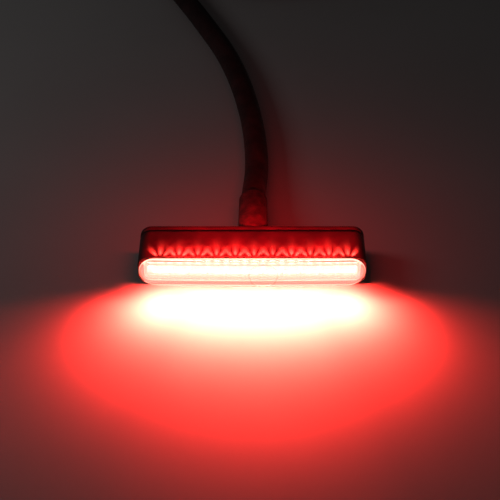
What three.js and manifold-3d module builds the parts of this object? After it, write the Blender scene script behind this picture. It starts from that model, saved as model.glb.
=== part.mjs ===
// A slim LED third brake light, with its lead wound into a coil beside it.
// Millimetres. X runs along the lamp, the lens faces -Y, the lead leaves at +Y, +Z is up.
// The origin is under the middle of the lamp, on the surface that it lies on.
import * as THREE from 'three';
import { mergeVertices } from 'three/addons/utils/BufferGeometryUtils.js';
import Module from 'manifold-3d';

const wasm = await Module();
wasm.setup();

// ---- driving dimensions ----
const LENGTH = 62;
const DEPTH = 15.2;
const HEIGHT = 9.9;
const CORNER_RADIUS = 3.3;
const WALL = 1.4;
const GAP = 0.25;
const FIT = 0.3;

const LED_COUNT = 11;
const LED_PITCH = 5.05;
const LED_ROW_SHIFT = 0.5;
const LED_SIZE = { x: 3.5, y: 1.9, z: 2.8 };
const CELL_MOUTH = { width: 4.6, height: 5.3 };
const BOARD_LENGTH = 58.4;
const BOARD_THICKNESS = 1;

const PAD_LENGTH = 52;
const PAD_DEPTH = 7.6;
const PAD_THICKNESS = 0.6;
const PAD_CORNER = 1.5;
const PAD_LIFT = 0.3;

const SCREW_RADIUS = 1;
const SCREW_HEAD_RADIUS = 1.9;
const SCREW_REACH = 3;
const CROSS_LENGTH = 2.2;
const CROSS_WIDTH = 0.5;
const CROSS_DEPTH = 0.6;

const CABLE_DIAMETER = 7;
const COIL_TURN_SPACING = 7.2;
const COIL_MIDDLE_DIAMETER = 83;
const COIL_CENTRE = new THREE.Vector2(9.5, 202.4);
const TAIL_BEND_RADIUS = 28;
const TIE_THICKNESS = 0.5;
const TIE_WIDTH = 5;

const BOOT_LENGTH = 17.5;
const BOOT_RADIUS = 4.3;
const BOOT_TIP_RADIUS = 4.02;
const WIRE_DIAMETER = 1.3;
const WIRE_HOLE_RADIUS = 2.2;

const CONNECTOR_RADIUS = 5.5;
const CONNECTOR_LENGTH = 26;
const CONNECTOR_BOOT_LENGTH = 9;
const SHELL_BORE = 4.6;
const SHELL_FLOOR_THICKNESS = 1.8;
const CONTACT_SPACING = 3.8;

// ---- places worked out from them ----
const FRONT = -DEPTH / 2;
const REAR = DEPTH / 2;
const BODY_HEIGHT = HEIGHT - PAD_LIFT;
const MID_Z = PAD_LIFT + BODY_HEIGHT / 2;

const MARK_RELIEF = 0.15;
const MARK_RADIUS = 4.05;
const MARK_WIDTH = 0.35;
const MARK_X = 3;
const MARK_Z = MID_Z - 0.55;
const LENS_CROWN = 1;
const LENS_EDGE = 0.5;
const LENS_INSET = 0.3;
const LENS_CORNER_RADIUS = 4.4;
const LENS_FRONT = FRONT + MARK_RELIEF;
const LENS_BACK = LENS_FRONT + LENS_CROWN + LENS_EDGE;
const LENS_RIB_BACK = LENS_BACK + 1.25;
const LENS_RIB_THICKNESS = 0.9;

const SEAL_THICKNESS = 0.4;
const SEAL_FRONT = LENS_RIB_BACK + GAP;
const REFLECTOR_FRONT = SEAL_FRONT + SEAL_THICKNESS + GAP;

const HOUSING_FRONT = LENS_BACK + GAP;
const COVER_THICKNESS = 1.6;
const COVER_FRONT = REAR - COVER_THICKNESS;
const GASKET_THICKNESS = 0.4;
const GASKET_FRONT = COVER_FRONT - GAP - GASKET_THICKNESS;
const HOUSING_BACK = GASKET_FRONT - GAP;

const LED_FACE = -1.95;
const LED_BACK = LED_FACE + LED_SIZE.y;
const BOARD_FRONT = LED_BACK + GAP;
const BOARD_BACK = BOARD_FRONT + BOARD_THICKNESS;
const PARTS_FRONT = BOARD_BACK + GAP;
const BOSS_FRONT = BOARD_BACK + FIT;
const BOSS_LENGTH = 5.3;
const SCREW_X = LENGTH / 2 - WALL - 3.2;

const SOLDER_X = 5;
const SOLDER_RADIUS = 1.2;
const SOLDER_HEIGHT = 0.9;
const CABLE_X = 0.3;
const CABLE_RADIUS = CABLE_DIAMETER / 2;
const OUTER_TURN = (COIL_MIDDLE_DIAMETER + COIL_TURN_SPACING) / 2;
const INNER_TURN = OUTER_TURN - COIL_TURN_SPACING;
const COIL_Z = TIE_THICKNESS + FIT + CABLE_RADIUS;

const CONNECTOR_Z = CONNECTOR_RADIUS;
const TAIL_CENTRE_X = COIL_CENTRE.x - (INNER_TURN - TAIL_BEND_RADIUS);
const CONNECTOR_X = TAIL_CENTRE_X + TAIL_BEND_RADIUS;
const CONNECTOR_BACK = COIL_CENTRE.y + 3;
const CONNECTOR_BOOT_FRONT = CONNECTOR_BACK - CONNECTOR_BOOT_LENGTH;
const SHELL_BACK = CONNECTOR_BOOT_FRONT - GAP;
const SHELL_FRONT = CONNECTOR_BACK - CONNECTOR_LENGTH;
const SHELL_FLOOR = SHELL_BACK - SHELL_FLOOR_THICKNESS;

// The lead from the lamp to the coil, chosen by hand: level out of the boot, down to the surface,
// straight back, then in a long curve to the left and round into the outer turn.
const CABLE_ROUTE = [
  [CABLE_X, REAR + GAP, MID_Z],
  [CABLE_X, 14, MID_Z],
  [CABLE_X, 20, MID_Z],
  [0.35, 26, 5.05],
  [0.75, 32, 4.65],
  [1.2, 38, 3.95],
  [1.4, 45, 3.55],
  [1.1, 55.2, 3.5],
  [0.2, 66.2, 3.5],
  [-1.4, 77.6, 3.5],
  [-3.6, 89.5, 3.5],
  [-6.5, 101.3, 3.5],
  [-10.2, 113, 3.5],
  [-15, 125.2, 3.5],
  [-20.3, 138, 3.5],
  [-24.5, 147.5, 3.5],
  [-28.6, 157, 3.6],
  [-31.3, 165, 3.75],
  [-33, 171.6, 3.9],
];

// ---- helpers ----
// Solids that are joined run into each other by this much, and cuts run past a face by CUT_OVER.
const JOIN = 0.1;
const CUT_OVER = 1;
const group = new THREE.Group();

function add(name, geometry, { color, roughness = 0.6, metalness = 0 }) {
  const mesh = new THREE.Mesh(geometry, new THREE.MeshStandardMaterial({ color, roughness, metalness }));
  mesh.name = name;
  group.add(mesh);
  return mesh;
}

function solid(geometry) {
  const bare = geometry.clone();
  bare.deleteAttribute('normal');
  bare.deleteAttribute('uv');
  const merged = mergeVertices(bare, 1e-5);
  return new wasm.Manifold(new wasm.Mesh({
    numProp: 3,
    vertProperties: merged.getAttribute('position').array,
    triVerts: new Uint32Array(merged.getIndex().array),
  }));
}

function toGeometry(body) {
  const mesh = body.getMesh();
  const geometry = new THREE.BufferGeometry();
  geometry.setAttribute('position', new THREE.BufferAttribute(mesh.vertProperties, 3));
  geometry.setIndex(new THREE.BufferAttribute(mesh.triVerts, 1));
  geometry.computeVertexNormals();
  return geometry;
}

// A rectangle with round corners, centred on the origin.
function roundedRect(width, height, radius) {
  const x = width / 2 - radius;
  const y = height / 2 - radius;
  const shape = new THREE.Shape();
  shape.absarc(x, y, radius, 0, Math.PI / 2, false);
  shape.absarc(-x, y, radius, Math.PI / 2, Math.PI, false);
  shape.absarc(-x, -y, radius, Math.PI, 1.5 * Math.PI, false);
  shape.absarc(x, -y, radius, 1.5 * Math.PI, 2 * Math.PI, false);
  shape.closePath();
  return shape;
}

// The lamp's outline seen from the front, made smaller by inset all round.
function outline(inset) {
  return roundedRect(LENGTH - 2 * inset, BODY_HEIGHT - 2 * inset, CORNER_RADIUS - inset);
}

// A shape drawn in X and Z, drawn out from front to back along Y, centred at height z.
function alongY(shape, front, back, z = MID_Z, curveSegments = 8) {
  const depth = back - front;
  const geometry = new THREE.ExtrudeGeometry(shape, { depth, bevelEnabled: false, curveSegments });
  geometry.rotateX(Math.PI / 2);
  geometry.translate(0, back, z);
  return geometry;
}

// A shape drawn in X and Y, drawn out along Z.
function alongZ(shape, bottom, top, curveSegments = 8) {
  const depth = top - bottom;
  const geometry = new THREE.ExtrudeGeometry(shape, { depth, bevelEnabled: false, curveSegments });
  geometry.translate(0, 0, bottom);
  return geometry;
}

function ring(outerInset, innerInset, front, back) {
  const shape = outline(outerInset);
  shape.holes.push(outline(innerInset));
  return alongY(shape, front, back);
}

function box(x, y, z, width, depth, height) {
  const geometry = new THREE.BoxGeometry(width, depth, height);
  geometry.translate(x, y, z);
  return geometry;
}

// A profile of [radius, y] points turned about a line along Y through (x, z).
function turned(points, x, z, segments = 24) {
  const geometry = new THREE.LatheGeometry(points.map(([r, y]) => new THREE.Vector2(r, y)), segments);
  geometry.translate(x, 0, z);
  return geometry;
}

function rod(radius, front, back, x, z, segments = 20) {
  return turned([[0, front], [radius, front], [radius, back], [0, back]], x, z, segments);
}

// A round tube's outer shape along a smooth line through points.
function alongRoute(points, diameter, sides, step) {
  const places = points.map(([x, y, z]) => new THREE.Vector3(x, y, z));
  const curve = new THREE.CatmullRomCurve3(places, false, 'centripetal');
  const section = new THREE.Shape();
  section.absarc(0, 0, diameter / 2, 0, 2 * Math.PI, false);
  const steps = Math.max(4, Math.round(curve.getLength() / step));
  const settings = { extrudePath: curve, steps, curveSegments: sides, bevelEnabled: false };
  return new THREE.ExtrudeGeometry(section, settings);
}

// ---- casing ----
// A hole for a screw, with clearance round it.
function screwHole(side, front, back) {
  return solid(rod(SCREW_RADIUS + FIT, front - CUT_OVER, back + CUT_OVER, side * SCREW_X, MID_Z));
}

// A tube with the lamp's outline, a screw boss at each end and a shallow pocket below for the pad.
function makeHousing() {
  let body = solid(ring(0, WALL, HOUSING_FRONT, HOUSING_BACK));
  const filling = solid(alongY(outline(WALL - JOIN), BOSS_FRONT, HOUSING_BACK));
  for (const side of [-1, 1]) {
    const middle = side * (LENGTH / 2 - WALL - BOSS_LENGTH / 2 + 2 * JOIN);
    const boss = filling.intersect(solid(box(middle, 0, MID_Z, BOSS_LENGTH + 4 * JOIN, DEPTH, HEIGHT)));
    body = body.add(boss).subtract(screwHole(side, BOSS_FRONT, HOUSING_BACK));
  }
  const pocketShape = roundedRect(PAD_LENGTH + 2 * FIT, PAD_DEPTH + 2 * FIT, PAD_CORNER + FIT);
  const pocket = solid(alongZ(pocketShape, -CUT_OVER, PAD_THICKNESS + FIT));
  return toGeometry(body.subtract(pocket));
}

// A plate with two lips that reach inside the housing, countersunk screw holes and a hole for the wires.
function makeRearCover() {
  const lip = { length: 44, reach: 1.5, thickness: 0.8 };
  const sinkFloor = REAR - 1.3;
  const sinkRadius = SCREW_HEAD_RADIUS + 0.4;
  const sinkProfile = [
    [0, sinkFloor],
    [SCREW_RADIUS + FIT, sinkFloor],
    [sinkRadius, REAR],
    [sinkRadius, REAR + CUT_OVER],
    [0, REAR + CUT_OVER],
  ];
  const lipFront = COVER_FRONT - lip.reach;
  const lipMiddle = (lipFront + COVER_FRONT + JOIN) / 2;
  let body = solid(alongY(outline(0), COVER_FRONT, REAR));
  for (const side of [-1, 1]) {
    const lipZ = MID_Z + side * (BODY_HEIGHT / 2 - WALL - FIT - lip.thickness / 2);
    const sink = solid(turned(sinkProfile, side * SCREW_X, MID_Z));
    body = body
      .add(solid(box(0, lipMiddle, lipZ, lip.length, lip.reach + JOIN, lip.thickness)))
      .subtract(screwHole(side, COVER_FRONT, REAR))
      .subtract(sink);
  }
  return toGeometry(body.subtract(solid(rod(WIRE_HOLE_RADIUS, lipFront, REAR + CUT_OVER, 0, MID_Z))));
}

// A countersunk screw with a cross recess, its head just below the cover's face.
function makeScrew(x) {
  const tip = HOUSING_BACK - SCREW_REACH;
  const headTop = REAR - 0.05;
  const headRim = headTop - 0.2;
  const headBase = headRim - (SCREW_HEAD_RADIUS - SCREW_RADIUS);
  const shank = solid(turned([
    [0, tip],
    [0.7 * SCREW_RADIUS, tip],
    [SCREW_RADIUS, tip + 0.6],
    [SCREW_RADIUS, headBase],
    [SCREW_HEAD_RADIUS, headRim],
    [SCREW_HEAD_RADIUS, headTop],
    [0, headTop],
  ], x, MID_Z));
  const slotOne = solid(box(x, REAR, MID_Z, CROSS_LENGTH, 2 * CROSS_DEPTH, CROSS_WIDTH));
  const slotTwo = solid(box(x, REAR, MID_Z, CROSS_WIDTH, 2 * CROSS_DEPTH, CROSS_LENGTH));
  return toGeometry(shank.subtract(slotOne).subtract(slotTwo));
}

// The lens seen from above: flat behind, its front a shallow arc that is proudest in the middle.
function crownedPlan() {
  const half = LENGTH / 2;
  const crownRadius = (half * half + LENS_CROWN * LENS_CROWN) / (2 * LENS_CROWN);
  const cutHalf = half + 2 * JOIN;
  const reach = Math.asin(cutHalf / crownRadius);
  const plan = new THREE.Shape();
  plan.moveTo(-cutHalf, LENS_BACK);
  plan.lineTo(cutHalf, LENS_BACK);
  plan.absarc(0, LENS_FRONT + crownRadius, crownRadius, reach - Math.PI / 2, -reach - Math.PI / 2, true);
  plan.closePath();
  return plan;
}

// The plain ring moulded on the lens's face.
function markRing() {
  const shape = new THREE.Shape();
  shape.absarc(0, 0, MARK_RADIUS, 0, 2 * Math.PI, false);
  const hole = new THREE.Path();
  hole.absarc(0, 0, MARK_RADIUS - MARK_WIDTH, 0, 2 * Math.PI, false);
  shape.holes.push(hole);
  const geometry = alongY(shape, FRONT, LENS_FRONT + MARK_RELIEF + JOIN, MARK_Z, 20);
  geometry.translate(MARK_X, 0, 0);
  return geometry;
}

// A clear bar with nearly half-round ends and a crowned face, with a locating rib behind it and the
// ring on its face. Its outline is a little smaller than the casing's.
function makeLens() {
  const face = roundedRect(LENGTH - 2 * LENS_INSET, BODY_HEIGHT - 2 * LENS_INSET, LENS_CORNER_RADIUS);
  const crowned = solid(alongZ(crownedPlan(), -CUT_OVER, HEIGHT + CUT_OVER, 24));
  const plate = solid(alongY(face, FRONT - CUT_OVER, LENS_BACK)).intersect(crowned);
  const ribInset = WALL + FIT;
  const rib = solid(ring(ribInset, ribInset + LENS_RIB_THICKNESS, LENS_BACK - JOIN, LENS_RIB_BACK));
  return toGeometry(plate.add(rib).add(solid(markRing())));
}

// ---- light ----
function ledX(index) {
  return LED_ROW_SHIFT + (index - (LED_COUNT - 1) / 2) * LED_PITCH;
}

// A four-sided funnel, wide at its front and narrow round the LED.
function makeCell(x) {
  const front = { y: REFLECTOR_FRONT - JOIN, ...CELL_MOUTH };
  const back = { y: LED_BACK + JOIN, width: LED_SIZE.x + 2 * GAP, height: LED_SIZE.z + 2 * GAP };
  const geometry = new THREE.BoxGeometry(1, 1, 1);
  const position = geometry.getAttribute('position');
  for (let i = 0; i < position.count; i += 1) {
    const end = position.getY(i) < 0 ? front : back;
    position.setXYZ(i, x + position.getX(i) * end.width, end.y, MID_Z + position.getZ(i) * end.height);
  }
  return solid(geometry);
}

function makeReflector() {
  let body = solid(alongY(outline(WALL + FIT), REFLECTOR_FRONT, LED_BACK));
  for (let i = 0; i < LED_COUNT; i += 1) {
    body = body.subtract(makeCell(ledX(i)));
  }
  return toGeometry(body);
}

// A surface-mount package with a dished light well in its face.
function makeLed(x) {
  const well = { depth: 0.7, floorRadius: 0.8, mouthRadius: 1.2 };
  const body = solid(box(x, (LED_FACE + LED_BACK) / 2, MID_Z, LED_SIZE.x, LED_SIZE.y, LED_SIZE.z));
  const dish = solid(turned([
    [0, LED_FACE - JOIN],
    [well.mouthRadius, LED_FACE - JOIN],
    [well.floorRadius, LED_FACE + well.depth],
    [0, LED_FACE + well.depth],
  ], x, MID_Z, 12));
  return toGeometry(body.subtract(dish));
}

// ---- electronics behind the board ----
// A box of width by thickness by height that stands on the back of the board.
function onBoard(x, z, width, thickness, height) {
  return box(x, PARTS_FRONT + thickness / 2, z, width, thickness, height);
}

// A small package with a tab above and three legs below.
function makeRegulator(x) {
  const legThickness = 0.4;
  const legPitch = 1.5;
  const raised = box(x, PARTS_FRONT + 0.8, MID_Z, 4.5, 1.5, 2.5);
  const tab = onBoard(x, MID_Z + 1.6, 1.8, legThickness, 0.9);
  let body = solid(raised).add(solid(tab));
  for (const leg of [-1, 0, 1]) {
    body = body.add(solid(onBoard(x + leg * legPitch, MID_Z - 1.65, 0.5, legThickness, 1)));
  }
  return toGeometry(body);
}

// A dome of solder, a quarter ellipse turned about its middle.
function makeSolderJoint(x) {
  const steps = 5;
  const points = [[0, PARTS_FRONT], [SOLDER_RADIUS, PARTS_FRONT]];
  for (let i = 1; i < steps; i += 1) {
    const angle = (i / steps) * Math.PI / 2;
    points.push([SOLDER_RADIUS * Math.cos(angle), PARTS_FRONT + SOLDER_HEIGHT * Math.sin(angle)]);
  }
  points.push([0, PARTS_FRONT + SOLDER_HEIGHT]);
  return turned(points, x, MID_Z, 14);
}

// From its solder joint a wire turns in to run beside the other one through the cover.
function makeWire(side) {
  const start = PARTS_FRONT + SOLDER_HEIGHT + GAP;
  const inHole = side * 0.95;
  const route = [
    [side * SOLDER_X, start, MID_Z],
    [side * (SOLDER_X - 0.5), start + 0.9, MID_Z],
    [side * (SOLDER_X - 2), start + 1.6, MID_Z],
    [side * 1.6, start + 2.1, MID_Z],
    [inHole, start + 3, MID_Z],
    [inHole, REAR - 0.2, MID_Z],
  ];
  return alongRoute(route, WIRE_DIAMETER, 8, 0.8);
}

// ---- lead ----
// The tapered sleeve that keeps the lead from kinking where it leaves the cover.
function makeCableBoot() {
  const start = REAR + GAP;
  const end = start + BOOT_LENGTH;
  const bore = CABLE_RADIUS + FIT;
  return turned([
    [bore, start],
    [BOOT_RADIUS, start],
    [BOOT_RADIUS, start + 3],
    [BOOT_TIP_RADIUS, end],
    [bore, end],
    [bore, start],
  ], CABLE_X, MID_Z, 32);
}

// Both turns of the put-away lead as one flat ring.
function makeCoil() {
  const inner = INNER_TURN - CABLE_RADIUS;
  const outer = OUTER_TURN + CABLE_RADIUS;
  const bottom = COIL_Z - CABLE_RADIUS;
  const top = COIL_Z + CABLE_RADIUS;
  const edge = 1.6;
  const profile = [
    [inner, bottom + edge],
    [inner + edge, bottom],
    [outer - edge, bottom],
    [outer, bottom + edge],
    [outer, top - edge],
    [outer - edge, top],
    [inner + edge, top],
    [inner, top - edge],
    [inner, bottom + edge],
  ];
  const geometry = turned(profile, 0, 0, 56);
  geometry.rotateX(Math.PI / 2);
  geometry.translate(COIL_CENTRE.x, COIL_CENTRE.y, 0);
  return geometry;
}

// A flat strap round both turns, at an angle about the coil's centre.
function makeTie(angle) {
  const width = OUTER_TURN - INNER_TURN + CABLE_DIAMETER + 2 * FIT;
  const height = CABLE_DIAMETER + 2 * FIT;
  const shape = roundedRect(width + 2 * TIE_THICKNESS, height + 2 * TIE_THICKNESS, 1.2);
  shape.holes.push(roundedRect(width, height, 0.8));
  const geometry = alongY(shape, -TIE_WIDTH / 2, TIE_WIDTH / 2, COIL_Z, 4);
  geometry.translate((OUTER_TURN + INNER_TURN) / 2, 0, 0);
  geometry.rotateZ(angle);
  geometry.translate(COIL_CENTRE.x, COIL_CENTRE.y, 0);
  return geometry;
}

// From the inner turn a half circle leads back to the connector, which lies inside the coil.
function makeTail() {
  const points = [];
  const steps = 10;
  const from = 1.5;
  for (let i = 0; i <= steps; i += 1) {
    const turn = from + (Math.PI - from) * (i / steps);
    const angle = Math.PI - turn;
    points.push([
      TAIL_CENTRE_X + TAIL_BEND_RADIUS * Math.cos(angle),
      COIL_CENTRE.y + TAIL_BEND_RADIUS * Math.sin(angle),
      COIL_Z + (CONNECTOR_Z - COIL_Z) * (turn / Math.PI),
    ]);
  }
  points.push([CONNECTOR_X, CONNECTOR_BOOT_FRONT + GAP, CONNECTOR_Z]);
  return alongRoute(points, CABLE_DIAMETER, 10, 6);
}

// ---- connector, its mating face towards -Y ----
function makeConnectorBoot() {
  const bore = CABLE_RADIUS + FIT;
  const front = CONNECTOR_BOOT_FRONT;
  return turned([
    [bore, front],
    [CONNECTOR_RADIUS - FIT, front],
    [CONNECTOR_RADIUS - FIT, front + 1.5],
    [4.2, CONNECTOR_BACK],
    [bore, CONNECTOR_BACK],
    [bore, front],
  ], CONNECTOR_X, CONNECTOR_Z, 28);
}

function makeConnectorShell() {
  const shell = solid(turned([
    [0, SHELL_FLOOR],
    [SHELL_BORE, SHELL_FLOOR],
    [SHELL_BORE, SHELL_FRONT],
    [CONNECTOR_RADIUS, SHELL_FRONT],
    [CONNECTOR_RADIUS, SHELL_BACK],
    [0, SHELL_BACK],
  ], CONNECTOR_X, CONNECTOR_Z, 28));
  const latch = solid(box(CONNECTOR_X, SHELL_FRONT + 6, CONNECTOR_Z + CONNECTOR_RADIUS, 3.2, 5, 1.2));
  return toGeometry(shell.add(latch));
}

function contactX(side) {
  return CONNECTOR_X + side * CONTACT_SPACING / 2;
}

// A plug of plastic with a blind hole for each contact.
function makeConnectorInsert() {
  const holeEnd = SHELL_FLOOR - 2;
  const plug = rod(SHELL_BORE - FIT, SHELL_FRONT + 0.4, SHELL_FLOOR - FIT, CONNECTOR_X, CONNECTOR_Z, 28);
  let body = solid(plug);
  for (const side of [-1, 1]) {
    body = body.subtract(solid(rod(1.1, SHELL_FRONT, holeEnd, contactX(side), CONNECTOR_Z, 14)));
  }
  return toGeometry(body);
}

// A short sleeve that takes the other half's pin.
function makeContact(side) {
  const front = SHELL_FRONT + 1;
  const back = SHELL_FLOOR - 2.4;
  const inner = 0.5;
  const outer = 0.8;
  return turned([[inner, front], [outer, front], [outer, back], [inner, back], [inner, front]],
    contactX(side), CONNECTOR_Z, 14);
}

// ---- the whole lamp ----
const BLACK_PLASTIC = { color: 0x0e0e10, roughness: 0.5 };
const BLACK_RUBBER = { color: 0x141414, roughness: 0.8 };
const STEEL = { color: 0x8f9296, roughness: 0.35, metalness: 1 };
const CERAMIC = { color: 0x1b1b1d, roughness: 0.5 };
const SOLDER = { color: 0xb9bcc0, roughness: 0.25, metalness: 1 };
const BRASS = { color: 0xc79a3e, roughness: 0.3, metalness: 1 };
const STRAP = { color: 0x202022, roughness: 0.7 };

add('housing', makeHousing(), BLACK_PLASTIC);
add('rear_cover', makeRearCover(), BLACK_PLASTIC);
add('rear_gasket', ring(0.4, WALL, GASKET_FRONT, GASKET_FRONT + GASKET_THICKNESS), BLACK_RUBBER);
add('cover_screw_left', makeScrew(-SCREW_X), STEEL);
add('cover_screw_right', makeScrew(SCREW_X), STEEL);
add('mounting_pad', alongZ(roundedRect(PAD_LENGTH, PAD_DEPTH, PAD_CORNER), 0, PAD_THICKNESS), BLACK_RUBBER);

add('lens', makeLens(), { color: 0xf6eeee, roughness: 0.08 });
add('lens_seal', ring(WALL + FIT, WALL + 1.2, SEAL_FRONT, SEAL_FRONT + SEAL_THICKNESS),
  { color: 0x9a9a98, roughness: 0.7 });
add('reflector', makeReflector(), { color: 0xd8d8d8, roughness: 0.15, metalness: 1 });
const boardShape = roundedRect(BOARD_LENGTH, BODY_HEIGHT - 2 * (WALL + FIT), 1.6);
add('led_board', alongY(boardShape, BOARD_FRONT, BOARD_BACK), { color: 0xe9e9e4, roughness: 0.4 });
for (let i = 0; i < LED_COUNT; i += 1) {
  add(`led_${String(i + 1).padStart(2, '0')}`, makeLed(ledX(i)), { color: 0xff2a22, roughness: 0.3 });
}

[-17, -12, 9.5].forEach((x, index) => {
  add(`series_resistor_${index + 1}`, onBoard(x, MID_Z, 3.2, 0.6, 1.6), CERAMIC);
});
add('protection_diode', onBoard(-22, MID_Z, 4.3, 2.1, 2.6), CERAMIC);
add('filter_capacitor', onBoard(21.5, MID_Z, 3.2, 1.8, 2.5), { color: 0x9c7a54, roughness: 0.6 });
add('current_regulator', makeRegulator(15.5), CERAMIC);
add('supply_solder_joint', makeSolderJoint(-SOLDER_X), SOLDER);
add('ground_solder_joint', makeSolderJoint(SOLDER_X), SOLDER);
add('supply_wire', makeWire(-1), { color: 0xa01414, roughness: 0.55 });
add('ground_wire', makeWire(1), { color: 0x161616, roughness: 0.55 });

add('cable_boot', makeCableBoot(), BLACK_RUBBER);
add('cable', alongRoute(CABLE_ROUTE, CABLE_DIAMETER, 10, 12), BLACK_RUBBER);
add('cable_coil', makeCoil(), BLACK_RUBBER);
add('coil_tie_1', makeTie(THREE.MathUtils.degToRad(80)), STRAP);
add('coil_tie_2', makeTie(THREE.MathUtils.degToRad(-100)), STRAP);
add('cable_tail', makeTail(), BLACK_RUBBER);

add('connector_boot', makeConnectorBoot(), BLACK_RUBBER);
add('connector_shell', makeConnectorShell(), BLACK_PLASTIC);
add('connector_insert', makeConnectorInsert(), { color: 0x2c2c2e, roughness: 0.6 });
add('contact_supply', makeContact(-1), BRASS);
add('contact_ground', makeContact(1), BRASS);

export default group;
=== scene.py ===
# %% [markdown]
# # A slim LED third brake light
#
# The lamp is a black bar with a clear crowned lens, eleven red LEDs behind it and a thick sheathed
# lead at its back. The engineering model gives every part's place. This lesson gives each part the
# finish of the real one: rounded moulded edges, clear plastic, lit LEDs and a soft cable.

import math

import bmesh
import bpy
from mathutils import Matrix, Vector


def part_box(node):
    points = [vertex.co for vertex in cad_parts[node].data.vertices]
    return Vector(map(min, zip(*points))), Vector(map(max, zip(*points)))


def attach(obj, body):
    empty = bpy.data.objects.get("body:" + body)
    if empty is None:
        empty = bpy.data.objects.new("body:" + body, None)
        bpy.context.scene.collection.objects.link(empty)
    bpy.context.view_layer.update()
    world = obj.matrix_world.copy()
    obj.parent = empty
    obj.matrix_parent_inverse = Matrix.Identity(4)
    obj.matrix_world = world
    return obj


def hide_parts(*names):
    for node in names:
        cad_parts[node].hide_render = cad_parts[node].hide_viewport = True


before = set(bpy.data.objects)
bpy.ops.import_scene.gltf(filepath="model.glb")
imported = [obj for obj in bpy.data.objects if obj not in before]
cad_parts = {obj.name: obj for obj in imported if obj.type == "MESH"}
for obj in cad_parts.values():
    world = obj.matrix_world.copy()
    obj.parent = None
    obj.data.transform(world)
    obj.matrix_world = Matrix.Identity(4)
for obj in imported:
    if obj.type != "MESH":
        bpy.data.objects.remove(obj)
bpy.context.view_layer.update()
print("parts in the model:", len(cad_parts))

# %% [markdown]
# ## The camera
#
# The lamp is seen from in front and above, about 40 degrees down, with a long lens, so its front and
# back edges are nearly the same width. The camera looks straight along the lamp's depth, so one turn
# about X is enough, and its place is found by walking back from a point near the lamp's middle.

# %% Camera
LOOK_DOWN = math.radians(40)
CAMERA_DISTANCE = 0.34579
looked_at = Vector((-0.0006, 0.00293, 0.005))
walk_back = Vector((0, -math.cos(LOOK_DOWN), math.sin(LOOK_DOWN)))

camera_data = bpy.data.cameras.new("camera")
camera_data.sensor_width = 36
camera_data.lens = 90.07
camera = bpy.data.objects.new("camera", camera_data)
camera.rotation_euler = (math.pi / 2 - LOOK_DOWN, 0, 0)
camera.location = looked_at + CAMERA_DISTANCE * walk_back
bpy.context.scene.collection.objects.link(camera)
bpy.context.scene.camera = camera
print("camera at", [round(value, 3) for value in camera.location], "lens", round(camera_data.lens, 1), "mm")

# %% [markdown]
# ## Small helpers
#
# Sizes on a lamp this small read best in millimetres, and Blender works in metres, so `MM` turns one
# into the other. Every mesh piece ends the same way: it becomes an object at the origin, gets smooth
# faces with its real edges kept sharp, and rides on the lamp.

# %% Helpers for sizes and finished pieces
MM = 0.001


def mm(x, y, z):
    """A place given in millimetres."""
    return Vector((x, y, z)) * MM


def as_object(name, bm):
    """Turns a bmesh into an object at the origin."""
    mesh = bpy.data.meshes.new(name)
    bm.to_mesh(mesh)
    bm.free()
    piece = bpy.data.objects.new(name, mesh)
    bpy.context.scene.collection.objects.link(piece)
    return piece


def finish(piece, materials, node, sharp=32):
    """Gives a mesh piece its finishes and puts it in the place of its engineering node."""
    mesh = piece.data
    for material in materials:
        mesh.materials.append(material)
    mesh.polygons.foreach_set("use_smooth", [True] * len(mesh.polygons))
    mesh.set_sharp_from_angle(angle=math.radians(sharp))
    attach(piece, "root")
    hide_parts(node)
    print(f"{piece.name}: {len(mesh.polygons)} faces")
    return piece


def edges_where(bm, test):
    """The edges whose two end points pass a test."""
    return [edge for edge in bm.edges if test(*(vert.co for vert in edge.verts))]


def bevel(bm, edges, width, segments=3):
    """Rounds edges to a width in metres."""
    bmesh.ops.bevel(
        bm, geom=edges, offset=width, offset_type="OFFSET", segments=segments,
        profile=0.5, affect="EDGES", material=-1, clamp_overlap=True,
    )


def block(low, high):
    """A box between two corners."""
    bm = bmesh.new()
    bmesh.ops.create_cube(bm, size=1)
    bmesh.ops.scale(bm, vec=high - low, verts=bm.verts)
    bmesh.ops.translate(bm, vec=(high + low) / 2, verts=bm.verts)
    return bm


def bar(low, high, radius, segments=12):
    """A box whose four edges along Y are round, as the lamp's outline is."""
    bm = block(low, high)
    long_edges = edges_where(bm, lambda a, b: abs(a.y - b.y) > 0.5 * (high.y - low.y))
    bevel(bm, long_edges, radius, segments)
    return bm


def turned(profile, x, z, segments=48, closed=False):
    """A profile of (radius, y) points spun about the line along Y through x and z, all in millimetres."""
    bm = bmesh.new()
    verts = [bm.verts.new(mm(x + radius, y, z)) for radius, y in profile]
    for a, b in zip(verts, verts[1:]):
        bm.edges.new((a, b))
    if closed:
        bm.edges.new((verts[-1], verts[0]))
    bmesh.ops.spin(
        bm, geom=list(bm.verts) + list(bm.edges), cent=mm(x, 0, z), axis=(0, 1, 0),
        angle=2 * math.pi, steps=segments, use_merge=True,
    )
    bmesh.ops.remove_doubles(bm, verts=bm.verts, dist=1e-7)
    bmesh.ops.recalc_face_normals(bm, faces=bm.faces)
    return bm


def combine(piece, other, operation):
    """Joins or cuts a piece with another object, which is then gone."""
    modifier = piece.modifiers.new("combine", "BOOLEAN")
    modifier.operation = operation
    modifier.object = other
    modifier.solver = "EXACT"
    ready = piece.evaluated_get(bpy.context.evaluated_depsgraph_get())
    mesh = bpy.data.meshes.new_from_object(ready)
    piece.modifiers.clear()
    piece.data = mesh
    bpy.data.objects.remove(other)
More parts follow.
